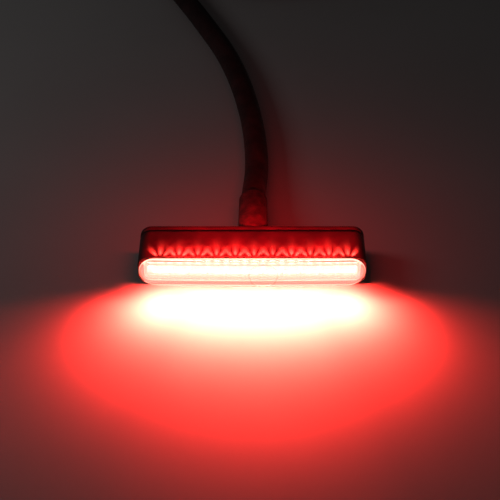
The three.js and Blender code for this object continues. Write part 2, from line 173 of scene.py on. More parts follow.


# %% [markdown]
# ## The lead's route
#
# A sheathed lead is a fixed length of something springy. It leaves level, comes down to the surface
# within a few diameters, bends in long curves, and what isn't needed is put away in a coil. The points
# of the loose stretch are listed one by one, and the coil's turns come from a loop, so that they lie
# neatly a diameter apart.

# %% The loose stretch and the coil
CABLE_DIAMETER = 7.0
CABLE_X = 0.3
COIL_CENTRE = Vector((9.5, 202.4))
OUTER_TURN = 45.1
INNER_TURN = 37.9
COIL_Z = 4.3
TAIL_BEND = 28.0
CONNECTOR_Z = 5.5

LOOSE_STRETCH = [
    (0.3, 7.85, 5.1), (0.3, 14, 5.1), (0.3, 20, 5.1), (0.35, 26, 5.05), (0.75, 32, 4.65),
    (1.2, 38, 3.95), (1.4, 45, 3.55), (1.1, 55.2, 3.5), (0.2, 66.2, 3.5), (-1.4, 77.6, 3.5),
    (-3.6, 89.5, 3.5), (-6.5, 101.3, 3.5), (-10.2, 113, 3.5), (-15, 125.2, 3.5),
    (-20.3, 138, 3.5), (-24.5, 147.5, 3.5), (-28.6, 157, 3.6), (-31.3, 165, 3.75),
    (-33, 171.6, 3.9), (-34.8, 182, 4.1), (-35.55, 192, 4.25),
]


def smooth_step(value):
    value = min(max(value, 0), 1)
    return value * value * (3 - 2 * value)


def coil_turns(points_per_turn=24):
    """Two turns, clockwise from the left: the outer one moves in over its last sixth."""
    for i in range(2 * points_per_turn + 1):
        turns = i / points_per_turn
        radius = OUTER_TURN + (INNER_TURN - OUTER_TURN) * smooth_step((turns - 5 / 6) * 6)
        angle = math.pi - 2 * math.pi * turns
        x, y = COIL_CENTRE + radius * Vector((math.cos(angle), math.sin(angle)))
        yield x, y, COIL_Z


def tail(points=12):
    """A half circle from the inner turn back to the connector, which lies inside the coil."""
    centre_x = COIL_CENTRE.x - (INNER_TURN - TAIL_BEND)
    for i in range(1, points + 1):
        angle = math.pi * (1 - i / points)
        height = COIL_Z + (CONNECTOR_Z - COIL_Z) * smooth_step(i / points)
        yield centre_x + TAIL_BEND * math.cos(angle), COIL_CENTRE.y + TAIL_BEND * math.sin(angle), height
    yield centre_x + TAIL_BEND, COIL_CENTRE.y - 5.7, CONNECTOR_Z


route = [Vector(point) * MM for point in [*LOOSE_STRETCH, *coil_turns(), *tail()]]
route_length = sum((b - a).length for a, b in zip(route, route[1:]))
print("lead, straight between its points, in metres:", round(route_length, 3))


# %% [markdown]
# ## Finishes
#
# Nothing on a real lamp is one flat colour. Moulded plastic has a fine spark-eroded grain, rubber is
# dusty in its pores, and metal is brushed. Each finish below starts from a plain shader, whose fixed
# values are set on its own sockets, and small noise textures then vary its colour, its gloss and its
# relief. Object coordinates keep the grain's real size, in metres, on every piece.

# %% Helpers for finishes
def plain(name, color, roughness, metallic=0.0, **sockets):
    material = bpy.data.materials.new(name)
    material.use_nodes = True
    shader = material.node_tree.nodes["Principled BSDF"]
    shader.inputs["Base Color"].default_value = (*color, 1)
    shader.inputs["Roughness"].default_value = roughness
    shader.inputs["Metallic"].default_value = metallic
    for socket, value in sockets.items():
        shader.inputs[socket.replace("_", " ")].default_value = value
    return material


def noise(material, grain_mm, stretch=(1, 1, 1), detail=4.0):
    """Noise whose lumps are about grain_mm across, stretched along an axis by a small number."""
    tree = material.node_tree
    coords = tree.nodes.new("ShaderNodeTexCoord")
    mapping = tree.nodes.new("ShaderNodeMapping")
    mapping.inputs["Scale"].default_value = stretch
    texture = tree.nodes.new("ShaderNodeTexNoise")
    texture.inputs["Scale"].default_value = 1 / (grain_mm * MM)
    texture.inputs["Detail"].default_value = detail
    tree.links.new(coords.outputs["Object"], mapping.inputs["Vector"])
    tree.links.new(mapping.outputs["Vector"], texture.inputs["Vector"])
    return texture.outputs["Fac"]


def vary_color(material, field, dark, light, low=0.35, high=0.65):
    """The base colour goes from dark to light as the field goes from low to high."""
    tree = material.node_tree
    ramp = tree.nodes.new("ShaderNodeValToRGB")
    ramp.color_ramp.elements[0].position = low
    ramp.color_ramp.elements[0].color = (*dark, 1)
    ramp.color_ramp.elements[1].position = high
    ramp.color_ramp.elements[1].color = (*light, 1)
    tree.links.new(field, ramp.inputs["Fac"])
    tree.links.new(ramp.outputs["Color"], tree.nodes["Principled BSDF"].inputs["Base Color"])


def vary_gloss(material, field, least, most):
    """The roughness stays between least and most."""
    tree = material.node_tree
    spread = tree.nodes.new("ShaderNodeMapRange")
    spread.inputs["From Min"].default_value = 0.3
    spread.inputs["From Max"].default_value = 0.7
    spread.inputs["To Min"].default_value = least
    spread.inputs["To Max"].default_value = most
    tree.links.new(field, spread.inputs["Value"])
    tree.links.new(spread.outputs["Result"], tree.nodes["Principled BSDF"].inputs["Roughness"])


def relief(material, field, height_mm, strength=1.0):
    """Fine grain that is too small to model."""
    tree = material.node_tree
    bump = tree.nodes.new("ShaderNodeBump")
    bump.inputs["Distance"].default_value = height_mm * MM
    bump.inputs["Strength"].default_value = strength
    tree.links.new(field, bump.inputs["Height"])
    tree.links.new(bump.outputs["Normal"], tree.nodes["Principled BSDF"].inputs["Normal"])


WAVES_PER_METRE = 3.18  # of a wave texture whose scale is 1


def wave(material, pitch_mm, turn=0.0, direction="X", distortion=0.0):
    """Evenly spaced lines pitch_mm apart across an axis, the pattern turned about Z by an angle."""
    tree = material.node_tree
    coords = tree.nodes.new("ShaderNodeTexCoord")
    mapping = tree.nodes.new("ShaderNodeMapping")
    mapping.vector_type = "TEXTURE"
    mapping.inputs["Rotation"].default_value = (0, 0, turn)
    texture = tree.nodes.new("ShaderNodeTexWave")
    texture.bands_direction = direction
    texture.inputs["Scale"].default_value = 1 / (pitch_mm * MM) / WAVES_PER_METRE
    texture.inputs["Distortion"].default_value = distortion
    tree.links.new(coords.outputs["Object"], mapping.inputs["Vector"])
    tree.links.new(mapping.outputs["Vector"], texture.inputs["Vector"])
    return texture.outputs["Fac"]


def product(material, one, other):
    """Two fields multiplied, so that threads show only where both are high."""
    tree = material.node_tree
    multiply = tree.nodes.new("ShaderNodeMath")
    multiply.operation = "MULTIPLY"
    tree.links.new(one, multiply.inputs[0])
    tree.links.new(other, multiply.inputs[1])
    return multiply.outputs[0]


# %% Casing, rubber and cable finishes
def moulded_black():
    material = plain("moulded_black", (0.012, 0.012, 0.013), 0.42)
    vary_color(material, noise(material, 6), (0.009, 0.009, 0.010), (0.017, 0.017, 0.018))
    vary_gloss(material, noise(material, 1.5), 0.36, 0.48)
    relief(material, noise(material, 0.12, detail=2), 0.012, 0.5)
    return material


def black_rubber():
    material = plain("black_rubber", (0.02, 0.02, 0.02), 0.7)
    vary_color(material, noise(material, 2.5), (0.014, 0.014, 0.014), (0.03, 0.029, 0.028))
    vary_gloss(material, noise(material, 0.8), 0.6, 0.78)
    relief(material, noise(material, 0.25, detail=5), 0.02, 0.5)
    return material


def sheath():
    material = plain("cable_sheath", (0.016, 0.016, 0.016), 0.5)
    vary_color(material, noise(material, 5), (0.011, 0.011, 0.011), (0.021, 0.021, 0.021))
    vary_gloss(material, noise(material, 1.2), 0.42, 0.58)
    relief(material, noise(material, 0.3, stretch=(1, 0.3, 1)), 0.015, 0.6)
    return material


def foam():
    material = plain("foam_tape", (0.03, 0.03, 0.032), 0.9)
    cells = noise(material, 0.35, detail=6)
    vary_color(material, cells, (0.012, 0.012, 0.013), (0.05, 0.05, 0.053))
    relief(material, cells, 0.08)
    return material


def silicone():
    white = (0.6, 0.6, 0.58)
    material = plain("silicone_seal", white, 0.4, Subsurface_Weight=0.2, Subsurface_Scale=0.001)
    vary_color(material, noise(material, 1.5), (0.5, 0.5, 0.48), (0.68, 0.68, 0.66))
    return material


casing_finish = moulded_black()
rubber_finish = black_rubber()
sheath_finish = sheath()
foam_finish = foam()
silicone_finish = silicone()
print("casing and lead finishes ready")


# %% [markdown]
# ## Clear plastic and bright metal
#
# The lens is polished polycarbonate, which bends light more than window glass. Its finish is nearly
# mirror smooth, with a trace of handling haze. When the LEDs are lit, the plastic scatters some of
# their light on its way through. A volume inside the lens could do that, but it is slow and noisy, so
# the finish has a faint emission: nearly white for the face, and redder for the rim, where only light
# that has gone along the plastic comes out. The reflector is plastic with a vapour of aluminium on it,
# so it is a mirror with faint ripples from the mould, and it has a little emission for the light that
# bounces round in its cells. Metal ends and contacts are small, so a brushed or cast grain is enough.

# %% Lens, reflector and metal finishes
def polycarbonate(name, glow_color, glow_strength):
    """Clear plastic that scatters a little of the light that fills it."""
    material = plain(
        name, (0.99, 0.97, 0.97), 0.02, Transmission_Weight=1.0, IOR=1.58,
        Emission_Color=(*glow_color, 1), Emission_Strength=glow_strength,
    )
    vary_gloss(material, noise(material, 4), 0.01, 0.05)
    return material


def mirror_plastic():
    material = plain(
        "metallised_plastic", (0.93, 0.9, 0.9), 0.1, metallic=1.0,
        Emission_Color=(1.0, 0.74, 0.63, 1), Emission_Strength=0.45,
    )
    vary_gloss(material, noise(material, 1.2), 0.07, 0.16)
    relief(material, noise(material, 0.9, detail=1), 0.03, 0.5)
    return material


def bright_metal(name, color, least, most, grain_mm, stretch=(1, 1, 1)):
    material = plain(name, color, (least + most) / 2, metallic=1.0)
    grain = noise(material, grain_mm, stretch)
    vary_gloss(material, grain, least, most)
    relief(material, grain, 0.01, 0.5)
    return material


def turned_steel():
    material = bright_metal("screw_steel", (0.5, 0.5, 0.51), 0.25, 0.4, 0.3, stretch=(1, 6, 1))
    vary_color(material, noise(material, 0.8), (0.42, 0.42, 0.43), (0.56, 0.56, 0.57))
    return material


lens_rim_finish = polycarbonate("polycarbonate_rim", (1.0, 0.46, 0.34), 0.28)
lens_face_finish = polycarbonate("polycarbonate_face", (1.0, 0.76, 0.66), 0.34)
mirror_finish = mirror_plastic()
steel_finish = turned_steel()
solder_finish = bright_metal("tin_solder", (0.7, 0.71, 0.73), 0.18, 0.35, 0.4)
brass_finish = bright_metal("plated_brass", (0.72, 0.52, 0.22), 0.2, 0.36, 0.3, stretch=(1, 0.2, 1))
print("lens, reflector and metal finishes ready")


# %% [markdown]
# ## The light itself
#
# Each LED is a white package with a dish in its face. The dish is filled with a clear gel over a tiny
# red chip, and when it is lit the whole dish glows. Light is given off by the gel, so its finish has a
# plain emission colour and strength, and the package round it only catches what spills.

# %% LED, board and electronics finishes
LED_COLOR = (1.0, 0.05, 0.036)
LED_STRENGTH = 380


def lit_gel():
    material = plain(
        "led_gel", (0.9, 0.05, 0.04), 0.25, Emission_Color=(*LED_COLOR, 1), Emission_Strength=LED_STRENGTH,
    )
    vary_color(material, noise(material, 0.4), (0.8, 0.03, 0.03), (1.0, 0.1, 0.08))
    return material


def white_package():
    material = plain("led_package", (0.82, 0.8, 0.76), 0.45)
    vary_color(material, noise(material, 0.8), (0.76, 0.74, 0.7), (0.86, 0.84, 0.8))
    vary_gloss(material, noise(material, 0.5), 0.38, 0.52)
    return material


def solder_mask():
    """White lacquer over copper tracks, which stand up a little and show as a faint warmer tone."""
    material = plain("white_solder_mask", (0.86, 0.87, 0.84), 0.35)
    tracks = wave(material, 2.1, direction="Z", distortion=1.5)
    vary_color(material, tracks, (0.78, 0.79, 0.72), (0.88, 0.89, 0.86), low=0.1, high=0.3)
    vary_gloss(material, noise(material, 1.2), 0.28, 0.42)
    relief(material, tracks, 0.03)
    return material


def epoxy():
    material = plain("moulded_epoxy", (0.03, 0.03, 0.032), 0.6)
    vary_color(material, noise(material, 0.5), (0.022, 0.022, 0.024), (0.04, 0.04, 0.042))
    relief(material, noise(material, 0.08, detail=2), 0.01, 0.6)
    return material


def ceramic():
    material = plain("brown_ceramic", (0.4, 0.27, 0.16), 0.35)
    vary_color(material, noise(material, 0.7), (0.34, 0.22, 0.13), (0.45, 0.31, 0.19))
    vary_gloss(material, noise(material, 0.3), 0.28, 0.44)
    return material


def insulation(name, color):
    material = plain(name, color, 0.35)
    vary_color(material, noise(material, 1.5), [c * 0.8 for c in color], [c * 1.2 for c in color])
    vary_gloss(material, noise(material, 0.6), 0.28, 0.45)
    return material


gel_finish = lit_gel()
package_finish = white_package()
board_finish = solder_mask()
epoxy_finish = epoxy()
ceramic_finish = ceramic()
red_wire_finish = insulation("red_insulation", (0.5, 0.02, 0.02))
black_wire_finish = insulation("black_insulation", (0.02, 0.02, 0.02))
print("LED and board finishes ready")


# %% [markdown]
# ## The casing
#
# Several parts share the lamp's outline, which is a bar with rounded corners, and what slides into the
# casing has the same outline made smaller. The engineering model keeps a small gap between parts that
# touch on the real lamp, so a visible part reaches a tenth of a millimetre or so past its box there.
#
# The casing is a moulded tube. It starts as a solid bar whose long edges are bevelled to the outline's
# radius and whose rims are bevelled a little, as a mould leaves them. The inside is then cut out, the
# screw bosses are added at the ends, and a shallow pocket is cut below for the foam pad. Booleans suit
# this because every cutter is a simple shape.

# %% Places that several parts share
OUTLINE_RADIUS = 3.3
WALL = 1.4
SLIDING = WALL + 0.3
RIB_INSIDE = WALL + 1.2
RING_HEIGHT = 0.15
RIB_DEPTH = 1.25


def extent(node, axis):
    """Where a node begins and ends along an axis, in millimetres."""
    low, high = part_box(node)
    return getattr(low, axis) / MM, getattr(high, axis) / MM


def middle_x(node):
    return sum(extent(node, "x")) / 2


housing_low, housing_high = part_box("housing")
HALF_LENGTH = housing_high.x / MM
MID_Z = sum(extent("housing", "z")) / 2
CASE_FRONT, CASE_BACK = extent("housing", "y")
LENS_FRONT = extent("lens", "y")[0] + RING_HEIGHT
RIB_BACK = extent("lens", "y")[1]
LENS_BACK = RIB_BACK - RIB_DEPTH
REAR = extent("rear_cover", "y")[1]
SCREW_X = middle_x("cover_screw_right")
print("casing from", round(CASE_FRONT, 2), "to", round(CASE_BACK, 2), "mm, screws at", round(SCREW_X, 2))


def outline_bar(front, back, inset=0.0, segments=12, radius=None):
    """A solid with the lamp's outline, made smaller by inset all round, from front to back."""
    shrink = Vector((inset, 0, inset)) * MM
    low = Vector((housing_low.x, front * MM, housing_low.z)) + shrink
    high = Vector((housing_high.x, back * MM, housing_high.z)) - shrink
    return bar(low, high, (radius or OUTLINE_RADIUS - inset) * MM, segments)


def rim(bm, y):
    """The edges that lie on the plane at y millimetres."""
    return edges_where(bm, lambda a, b: max(abs(a.y - y * MM), abs(b.y - y * MM)) < 1e-7)


def cut(piece, cutter):
    combine(piece, as_object("cutter", cutter), "DIFFERENCE")


def join(piece, other):
    combine(piece, as_object("other", other), "UNION")


def round_hole(x, front, back, radius, segments=32):
    """A cylinder to cut with, at x on the lamp's middle height."""
    return turned([(0, front), (radius, front), (radius, back), (0, back)], x, MID_Z, segments)


# %% Casing
def make_housing():
    front, back = CASE_FRONT - 0.15, CASE_BACK + 0.1
    boss_front, boss_reach = 1.5, 5.3
    outer = outline_bar(front, back)
    bevel(outer, rim(outer, front) + rim(outer, back), 0.2 * MM)
    housing = as_object("housing_shell", outer)
    cut(housing, outline_bar(front - 1, back + 1, WALL))
    for side in (-1, 1):
        boss = outline_bar(boss_front, back - 0.2, WALL - 0.1)
        plane = mm(side * (HALF_LENGTH - WALL - boss_reach), 0, 0)
        sliced = bmesh.ops.bisect_plane(
            boss, geom=boss.verts[:] + boss.edges[:] + boss.faces[:],
            plane_co=plane, plane_no=(side, 0, 0), clear_inner=True,
        )
        open_edges = [item for item in sliced["geom_cut"] if isinstance(item, bmesh.types.BMEdge)]
        bmesh.ops.holes_fill(boss, edges=open_edges)
        join(housing, boss)
        cut(housing, round_hole(side * SCREW_X, boss_front - 1, back + 1, 1.2))
    pad_low, pad_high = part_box("mounting_pad")
    margin = Vector((0.3, 0.3, 0)) * MM
    pocket = block(pad_low - margin - mm(0, 0, 1), pad_high + margin + mm(0, 0, 0.3))
    upright = edges_where(pocket, lambda a, b: abs(a.z - b.z) > 0.5 * MM)
    bevel(pocket, upright, 1.8 * MM, 8)
    cut(housing, pocket)
    return finish(housing, [casing_finish], "housing")


make_housing()


# %% [markdown]
# ## The rear cover and its screws
#
# The cover is a plate with the same outline, and two lips on its front go inside the casing. Its back
# rim is rounded more than the casing's, so the edge catches a line of light. The gasket is a thin ring
# between the two. A screw is a profile spun round its line, with its head in a countersink, and its
# cross recess is cut with two crossing blocks that get narrower as they go in.

# %% Rear cover, gasket and screws
def narrow(bm, verts, x, across, upright):
    """Draws verts in towards the line along Y through x and the lamp's middle height."""
    to_line = Matrix.Translation(mm(-x, 0, -MID_Z))
    bmesh.ops.scale(bm, vec=(across, 1, upright), space=to_line, verts=verts)


def make_rear_cover():
    front, back = REAR - 1.68, REAR
    outer = outline_bar(front, back)
    bevel(outer, rim(outer, back), 0.45 * MM, 5)
    bevel(outer, rim(outer, front), 0.06 * MM, 2)
    cover = as_object("rear_cover_plate", outer)
    sink = [
        (0, back - 1.3), (1.3, back - 1.3), (2.15, back - 0.12), (2.3, back + 0.01), (2.3, back + 1),
        (0, back + 1),
    ]
    for side in (-1, 1):
        lip_z = MID_Z + side * 2.7
        join(cover, block(mm(-22, front - 1.4, lip_z - 0.4), mm(22, front + 0.1, lip_z + 0.4)))
        cut(cover, round_hole(side * SCREW_X, front - 2, back + 1, 1.3))
        cut(cover, turned(sink, side * SCREW_X, MID_Z))
    cut(cover, round_hole(0, front - 2, back + 1, 2.2, 48))
    return finish(cover, [casing_finish], "rear_cover")


def make_gasket():
    outer = outline_bar(CASE_BACK - 0.02, REAR - 1.55, 0.12)
    gasket = as_object("gasket_ring", outer)
    cut(gasket, outline_bar(CASE_BACK - 1, REAR, WALL))
    return finish(gasket, [rubber_finish], "rear_gasket")


def make_screw(side, node):
    tip, top = CASE_BACK - 3, REAR - 0.05
    profile = [
        (0, tip), (0.7, tip), (1, tip + 0.6), (1, top - 1.1), (1.85, top - 0.25), (1.9, top - 0.18),
        (1.88, top - 0.06), (1.8, top - 0.01), (0, top),
    ]
    x = side * SCREW_X
    screw = as_object(node + "_turned", turned(profile, x, MID_Z))
    for half_x, half_z in ((1.1, 0.22), (0.22, 1.1)):
        slot = block(mm(x - half_x, top - 0.6, MID_Z - half_z), mm(x + half_x, top + 1, MID_Z + half_z))
        deep = [vert for vert in slot.verts if vert.co.y < top * MM]
        narrow(slot, deep, x, 0.8, 0.8)
        cut(screw, slot)
    return finish(screw, [steel_finish], node)


make_rear_cover()
make_gasket()
make_screw(-1, "cover_screw_left")
make_screw(1, "cover_screw_right")


# %% [markdown]
# ## The foam pad
#
# The pad is a strip of foam tape, a little squashed, so its edge is rounded and not sharp.

# %% Foam pad
def make_pad():
    low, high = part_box("mounting_pad")
    high = high + mm(0, 0, 0.25)
    pad = block(low, high)
    upright = edges_where(pad, lambda a, b: abs(a.z - b.z) > 0.5 * (high.z - low.z))
    bevel(pad, upright, 1.5 * MM, 8)
    flat_rims = edges_where(pad, lambda a, b: abs(a.z - b.z) < 1e-7)
    bevel(pad, flat_rims, 0.2 * MM, 3)
    return finish(as_object("foam_pad", pad), [foam_finish], "mounting_pad")


make_pad()


# %% [markdown]
# ## The lens
#
# The lens is a clear bar with nearly half-round ends, flat behind and gently crowned in front: seen
# from above, its face is a shallow arc. A bar is sliced into strips along its length, and each slice's
# front is set back by the arc's depth there, so the strips make the crown. Only then is the front rim
# rounded, so that the rounding follows the crown. The flat of the face, found by its normals, is inset
# to leave a narrow band round it, and takes the paler finish. The locating rib behind the lens and the
# plain ring on its face are joined on, because one solid bends light properly and overlapping shells
# don't.

# %% Lens
LENS_CROWN = 1.0
LENS_INSET = 0.3
LENS_RADIUS = 4.4
LENS_SLICES = 36
FACE_BAND = 0.45
CROWN_RADIUS = (HALF_LENGTH**2 + LENS_CROWN**2) / (2 * LENS_CROWN)


def set_back(x):
    """How far the face lies behind its proudest point, at x millimetres from the middle."""
    return CROWN_RADIUS - math.sqrt(CROWN_RADIUS**2 - x**2)


def outer_rim(bm, y):
    """The edges on the plane at y that border the side wall, and not the cuts across the face."""
    return [edge for edge in rim(bm, y) if any(abs(face.normal.y) < 0.5 for face in edge.link_faces)]


def crowned_plate():
    bm = outline_bar(LENS_FRONT, LENS_BACK, LENS_INSET, 20, LENS_RADIUS)
    for i in range(1, LENS_SLICES):
        x = HALF_LENGTH * (2 * i / LENS_SLICES - 1)
        everything = bm.verts[:] + bm.edges[:] + bm.faces[:]
        bmesh.ops.bisect_plane(bm, geom=everything, plane_co=mm(x, 0, 0), plane_no=(1, 0, 0))
    front_rim = outer_rim(bm, LENS_FRONT)
    back_rim = outer_rim(bm, LENS_BACK)
    for vert in bm.verts:
        if abs(vert.co.y - LENS_FRONT * MM) < 1e-7:
            vert.co.y += set_back(vert.co.x / MM) * MM
    bevel(bm, front_rim, 0.42 * MM, 6)
    bm.normal_update()
    face = [part for part in bm.faces if part.normal.y < -0.995]
    bmesh.ops.inset_region(bm, faces=face, thickness=FACE_BAND * MM, use_boundary=True, use_even_offset=True)
    for part in face:
        part.material_index = 1
    bevel(bm, back_rim, 0.1 * MM, 2)
    return bm


def make_lens():
    lens = as_object("clear_lens", crowned_plate())
    rib = as_object("rib", outline_bar(LENS_BACK - 0.1, RIB_BACK, SLIDING))
    cut(rib, outline_bar(LENS_BACK - 1, RIB_BACK + 1, RIB_INSIDE))
    combine(lens, rib, "UNION")
    root, top = LENS_FRONT + 0.3, LENS_FRONT - RING_HEIGHT
    shoulder = top + 0.05
    ring_profile = [(3.70, root), (3.71, shoulder), (3.77, top), (3.98, top), (4.04, shoulder), (4.05, root)]
    join(lens, turned(ring_profile, 3, MID_Z - 0.55, 72, closed=True))
    return finish(lens, [lens_rim_finish, lens_face_finish], "lens", sharp=40)


lens = make_lens()


# %% [markdown]
# ## The seal and the reflector
#
# A thin bead of silicone closes the joint behind the lens. The reflector is a bright bar with a tapered
# cell for each LED: wide at its mouth and close round the LED. Each cell is a block with rounded edges,
# drawn in at its back, and the eleven blocks make one cutter, so the bar is cut only once.

# %% Seal and reflector
REFLECTOR_FRONT, REFLECTOR_BACK = extent("reflector", "y")
LED_NODES = [f"led_{i:02d}" for i in range(1, 12)]
CELL_MOUTH = Vector((4.6, 5.3))
CELL_BACK = Vector((4.0, 3.3))


def make_seal():
    front, back = RIB_BACK + 0.08, REFLECTOR_FRONT - 0.08
    seal = as_object("silicone_bead", outline_bar(front, back, SLIDING))
    cut(seal, outline_bar(front - 1, back + 1, RIB_INSIDE))
    return finish(seal, [silicone_finish], "lens_seal")


def cell_cutter(x):
    front, back = REFLECTOR_FRONT - 0.1, REFLECTOR_BACK + 0.1
    half_x, half_z = CELL_MOUTH / 2
    bm = block(mm(x - half_x, front, MID_Z - half_z), mm(x + half_x, back, MID_Z + half_z))
    long_edges = edges_where(bm, lambda a, b: abs(a.y - b.y) > 0.5 * MM)
    bevel(bm, long_edges, 0.7 * MM, 6)
    deep = [vert for vert in bm.verts if vert.co.y > 0.5 * (front + back) * MM]
    narrow(bm, deep, x, CELL_BACK.x / CELL_MOUTH.x, CELL_BACK.y / CELL_MOUTH.y)
    return bm


def make_reflector():
    reflector = as_object("reflector_cells", outline_bar(REFLECTOR_FRONT, REFLECTOR_BACK, SLIDING))
    cells = bmesh.new()
    for node in LED_NODES:
        one = cell_cutter(middle_x(node))
        mesh = bpy.data.meshes.new("cell")
        one.to_mesh(mesh)
        one.free()
        cells.from_mesh(mesh)
        bpy.data.meshes.remove(mesh)
    cut(reflector, cells)
    return finish(reflector, [mirror_finish], "reflector")


make_seal()
make_reflector()


# %% [markdown]
# ## The LEDs
#
# One LED is modelled at the middle of the row, in three finishes: the white package with a dish, the
# gel in the dish, and the two tin-plated terminals. The others are copies of its mesh moved along the
# row, each an object of its own.

# %% One LED, then the row
def merge(name, parts):
    """One object from several (bmesh, finish number) parts."""
    whole = bmesh.new()
    for bm, index in parts:
        for face in bm.faces:
            face.material_index = index
        mesh = bpy.data.meshes.new("part")
        bm.to_mesh(mesh)
        bm.free()
        whole.from_mesh(mesh)
        bpy.data.meshes.remove(mesh)
    return as_object(name, whole)


def soft_block(low, high, edge_mm, segments=2):
    bm = block(low, high)
    bevel(bm, bm.edges[:], edge_mm * MM, segments)
    return bm


def led_mesh():
    low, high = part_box("led_06")
    x = middle_x("led_06")
    face, back = extent("led_06", "y")
    package = as_object("package", soft_block(low, high, 0.15))
    dish_profile = [(0, face - 0.1), (1.24, face - 0.1), (0.85, face + 0.7), (0, face + 0.7)]
    cut(package, turned(dish_profile, x, MID_Z, 32))
    body = bmesh.new()
    body.from_mesh(package.data)
    bpy.data.objects.remove(package)
    gel_profile = [
        (0, face + 0.65), (0.84, face + 0.65), (1.12, face + 0.12), (0.8, face + 0.15), (0.4, face + 0.17),
        (0, face + 0.18),
    ]
    parts = [(body, 0), (turned(gel_profile, x, MID_Z, 32), 1)]
    for side in (-1, 1):
        middle = mm(x + side * 1.68, back - 0.3, MID_Z)
        half = mm(0.12, 0.28, 1.0)
        parts.append((soft_block(middle - half, middle + half, 0.05), 2))
    led = merge("led", parts)
    mesh = led.data
    bpy.data.objects.remove(led)
    return mesh


first_led = led_mesh()
for node in LED_NODES:
    mesh = first_led.copy()
    mesh.transform(Matrix.Translation(mm(middle_x(node) - middle_x("led_06"), 0, 0)))
    led = bpy.data.objects.new(node + "_lit", mesh)
    bpy.context.scene.collection.objects.link(led)
    finish(led, [package_finish, gel_finish, solder_finish], node)


# %% [markdown]
# ## The board and what is soldered to it
#
# The board carries the LEDs in front and the small parts behind. Each small part is a moulded or fired
# body between two tinned ends, so one function makes them all from their boxes. The regulator has a
# tab and three legs instead.

# %% Board and small parts
def make_board():
    low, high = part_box("led_board")
    bm = bar(low, high, 1.6 * MM, 8)
    bevel(bm, rim(bm, low.y / MM) + rim(bm, high.y / MM), 0.06 * MM, 2)
    return finish(as_object("circuit_board", bm), [board_finish], "led_board")


def make_two_ended(node, body_finish, cap_mm, edge_mm):
    low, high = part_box(node)
    cap = Vector((cap_mm * MM, 0, 0))
    slim = mm(0, 0.04, 0.04)
    body = soft_block(low + 0.9 * cap + slim, high - 0.9 * cap - slim, edge_mm)
    left = soft_block(low, Vector((low.x, high.y, high.z)) + cap, edge_mm * 0.6)
    right = soft_block(Vector((high.x, low.y, low.z)) - cap, high, edge_mm * 0.6)
    piece = merge(node + "_part", [(body, 0), (left, 1), (right, 1)])
    return finish(piece, [body_finish, solder_finish], node)


def make_diode(node):
    low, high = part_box(node)
    body = soft_block(low + mm(0.35, 0.1, 0), high - mm(0.35, 0, 0), 0.22, 3)
    parts = [(body, 0)]
    foot = mm(0.9, 0.3, 1.6)
    for x in (low.x, high.x - foot.x):
        start = Vector((x, low.y, MID_Z * MM - foot.z / 2))
        parts.append((soft_block(start, start + foot, 0.05), 1))
    return finish(merge(node + "_part", parts), [epoxy_finish, solder_finish], node)


def make_regulator(node):
    left, right = extent(node, "x")
    front, back = extent(node, "y")
    body = soft_block(mm(left, front + 0.05, MID_Z - 1.25), mm(right, back, MID_Z + 1.25), 0.15, 3)
    foot = mm(middle_x(node), front, MID_Z)
    tab = soft_block(foot + mm(-0.9, 0, 1.0), foot + mm(0.9, 0.4, 2.05), 0.06)
    parts = [(body, 0), (tab, 1)]
    for leg in (-1.5, 0, 1.5):
        start = foot + mm(leg - 0.25, 0, -2.15)
        parts.append((soft_block(start, start + mm(0.5, 0.4, 1.1), 0.06), 1))
    return finish(merge(node + "_part", parts), [epoxy_finish, solder_finish], node)


make_board()
for number in (1, 2, 3):
    make_two_ended(f"series_resistor_{number}", epoxy_finish, 0.5, 0.06)
make_two_ended("filter_capacitor", ceramic_finish, 0.6, 0.12)
make_diode("protection_diode")
make_regulator("current_regulator")


# %% [markdown]
# ## Solder joints and wires
#
# Molten solder climbs the wire in a hollow curve, which a profile of a few points spun round gives. The
# wires are thin curves with a round bevel, which bend in to pass through the cover side by side.

# %% Solder joints and wires
def make_joint(node):
    foot, top = extent(node, "y")
    profile = [
        (0, foot), (1.2, foot), (1.18, foot + 0.08), (0.92, foot + 0.24), (0.78, foot + 0.48),
        (0.72, top - 0.12), (0.55, top), (0, top),
    ]
    piece = as_object(node + "_fillet", turned(profile, middle_x(node), MID_Z))
    return finish(piece, [solder_finish], node, sharp=60)


def tube(name, points, diameter_mm, material):
    curve = bpy.data.curves.new(name, "CURVE")
    curve.dimensions = "3D"
    curve.bevel_depth = diameter_mm / 2 * MM
    curve.bevel_resolution = 6
    curve.resolution_u = 6
    curve.use_fill_caps = True
    spline = curve.splines.new("BEZIER")
    spline.bezier_points.add(len(points) - 1)
    for bezier_point, place in zip(spline.bezier_points, points):
        bezier_point.co = place
        bezier_point.handle_left_type = "AUTO"
        bezier_point.handle_right_type = "AUTO"
    curve.materials.append(material)
    piece = bpy.data.objects.new(name, curve)
    bpy.context.scene.collection.objects.link(piece)
    return piece


def make_wire(node, side, material):
    start = extent(node, "y")[0]
    places = [
        (5, start - 0.2), (4.5, start + 0.9), (3, start + 1.6), (1.6, start + 2.1), (0.95, start + 3),
        (0.95, REAR - 0.2),
    ]
    wire = tube(node + "_insulated", [mm(side * x, y, MID_Z) for x, y in places], 1.3, material)
    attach(wire, "root")
    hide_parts(node)
    print(wire.name, "follows", len(places), "points")


make_joint("supply_solder_joint")
make_joint("ground_solder_joint")
make_wire("supply_wire", -1, red_wire_finish)
make_wire("ground_wire", 1, black_wire_finish)


# %% [markdown]
# ## The boot and the lead
#
# The boot is a rubber sleeve that tapers away from the cover, so the lead can't kink there. The lead is
# one curve with a round bevel, which keeps its thickness the same all the way.

